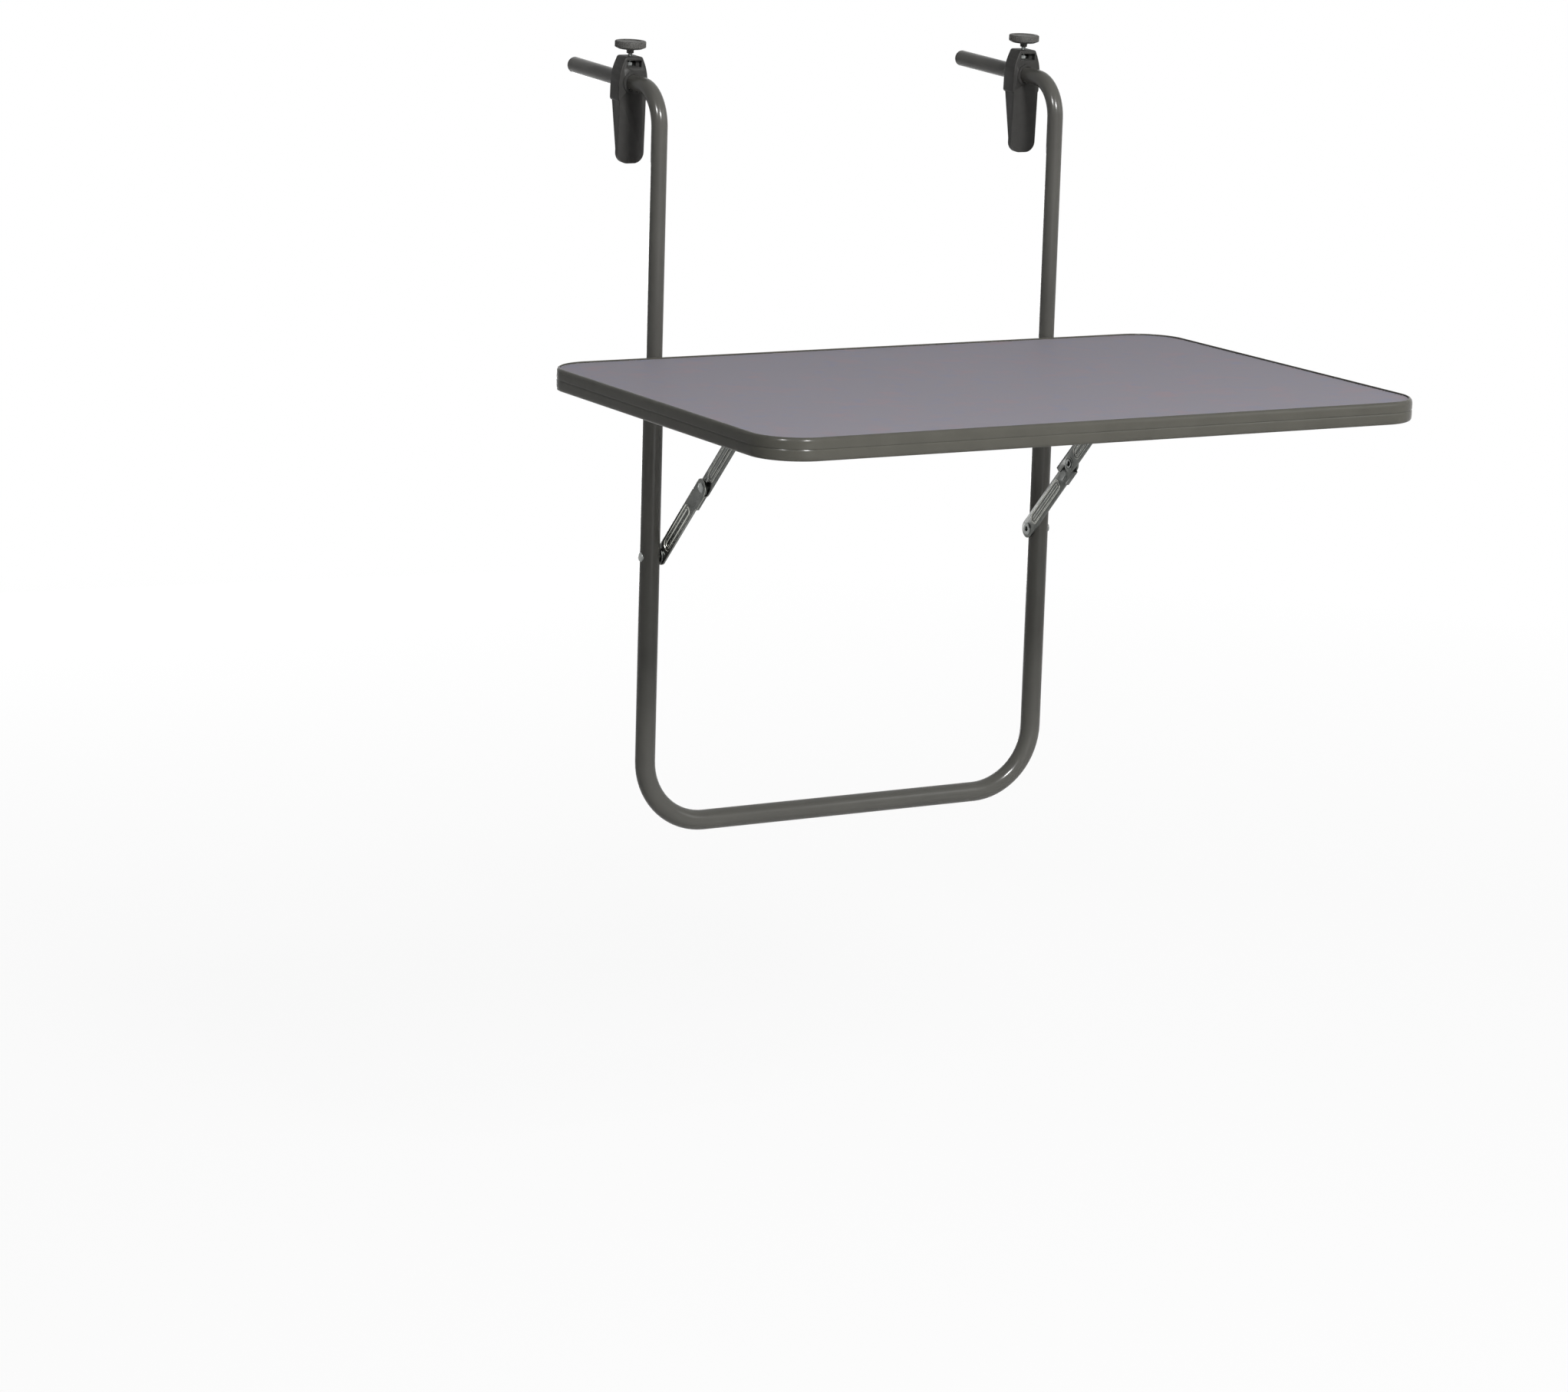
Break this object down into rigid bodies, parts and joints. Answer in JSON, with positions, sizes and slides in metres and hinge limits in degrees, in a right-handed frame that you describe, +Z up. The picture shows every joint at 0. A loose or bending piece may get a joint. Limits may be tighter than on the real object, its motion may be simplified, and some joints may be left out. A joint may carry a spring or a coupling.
{
  "type": "balcony railing bar table",
  "caption": "Folding tabletop hinged on a bent tube frame that hooks over a balcony rail and clamps behind it with sliding plates and thumbscrews.",
  "frame": {"origin": "midway between the arms, where their axis crosses the front face of the handrail", "axes": "+X along the railing, +Y through the railing away from the user, +Z up"},
  "size_m": [0.6, 0.5701, 0.6625],
  "materials": {
    "tube_paint": "satin dark grey powder coat",
    "laminate": "warm grey laminate with a faint mottle",
    "board_core": "chipboard with a dark backing foil",
    "edge_plastic": "satin dark olive-grey plastic profile",
    "dark_plastic": "moulded dark grey plastic, finely grained",
    "zinc_steel": "bright zinc-plated steel"
  },
  "bodies": {
    "frame": {"leg_frame": "tube_paint", "hook_tube_left": "tube_paint", "end_cap_left": "dark_plastic", "hinge_rivet_left": "zinc_steel", "stay_leg_rivet_left": "zinc_steel", "stay_leg_washer_left": "zinc_steel", "hook_tube_right": "tube_paint", "end_cap_right": "dark_plastic", "hinge_rivet_right": "zinc_steel", "stay_leg_rivet_right": "zinc_steel", "stay_leg_washer_right": "zinc_steel"},
    "table": {"tabletop_board": "board_core", "tabletop_laminate": "laminate", "edge_trim": "edge_plastic", "hinge_bracket_left": "zinc_steel", "hinge_screws_left": "zinc_steel", "stay_top_bracket_left": "zinc_steel", "stay_top_rivet_left": "zinc_steel", "stay_bracket_screws_left": "zinc_steel", "hinge_bracket_right": "zinc_steel", "hinge_screws_right": "zinc_steel", "stay_top_bracket_right": "zinc_steel", "stay_top_rivet_right": "zinc_steel", "stay_bracket_screws_right": "zinc_steel"},
    "stay_upper_left": {"stay_upper_link_left": "zinc_steel"},
    "stay_lower_left": {"stay_lower_link_left": "zinc_steel", "stay_pivot_ring_left": "zinc_steel", "stay_knee_rivet_left": "zinc_steel", "stay_knee_spacer_left": "zinc_steel"},
    "clamp_left": {"clamp_body_left": "dark_plastic", "clamp_nut_left": "zinc_steel"},
    "thumbscrew_left": {"clamp_screw_left": "zinc_steel", "clamp_knob_left": "dark_plastic"},
    "stay_upper_right": {"stay_upper_link_right": "zinc_steel"},
    "stay_lower_right": {"stay_lower_link_right": "zinc_steel", "stay_pivot_ring_right": "zinc_steel", "stay_knee_rivet_right": "zinc_steel", "stay_knee_spacer_right": "zinc_steel"},
    "clamp_right": {"clamp_body_right": "dark_plastic", "clamp_nut_right": "zinc_steel"},
    "thumbscrew_right": {"clamp_screw_right": "zinc_steel", "clamp_knob_right": "dark_plastic"}
  },
  "joints": [
    {"name": "table_fold", "type": "hinge", "parent": "frame", "child": "table", "pos_m": [0, -0.0085, -0.2488], "axis": [1, 0, 0], "range_deg": [0, 90]},
    {"name": "stay_top_pivot_left", "type": "hinge", "parent": "table", "child": "stay_upper_left", "pos_m": [-0.176, -0.1465, -0.2488], "axis": [1, 0, 0], "range_deg": [0, 45]},
    {"name": "stay_knee_left", "type": "hinge", "parent": "stay_upper_left", "child": "stay_lower_left", "pos_m": [-0.177, -0.0775, -0.3178], "axis": [1, 0, 0], "range_deg": [-180, 0]},
    {"name": "clamp_slide_left", "type": "slide", "parent": "frame", "child": "clamp_left", "axis": [0, 0.999, 0.0436], "range_m": [-0.013, 0.088]},
    {"name": "thumbscrew_turn_left", "type": "hinge", "parent": "clamp_left", "child": "thumbscrew_left", "pos_m": [-0.19, 0.04845, 0.00212], "axis": [0, -0.0436, 0.999], "range_deg": [0, 900]},
    {"name": "stay_top_pivot_right", "type": "hinge", "parent": "table", "child": "stay_upper_right", "pos_m": [0.176, -0.1465, -0.2488], "axis": [1, 0, 0], "range_deg": [0, 45]},
    {"name": "stay_knee_right", "type": "hinge", "parent": "stay_upper_right", "child": "stay_lower_right", "pos_m": [0.177, -0.0775, -0.3178], "axis": [1, 0, 0], "range_deg": [-180, 0]},
    {"name": "clamp_slide_right", "type": "slide", "parent": "frame", "child": "clamp_right", "axis": [0, 0.999, 0.0436], "range_m": [-0.013, 0.088]},
    {"name": "thumbscrew_turn_right", "type": "hinge", "parent": "clamp_right", "child": "thumbscrew_right", "pos_m": [0.19, 0.04845, 0.00212], "axis": [0, -0.0436, 0.999], "range_deg": [0, 900]}
  ],
  "couplings": [
    {"joint": "stay_top_pivot_left", "follows": "table_fold", "ratio": 0.5},
    {"joint": "stay_knee_left", "follows": "table_fold", "ratio": -2},
    {"joint": "stay_top_pivot_right", "follows": "table_fold", "ratio": 0.5},
    {"joint": "stay_knee_right", "follows": "table_fold", "ratio": -2}
  ]
}
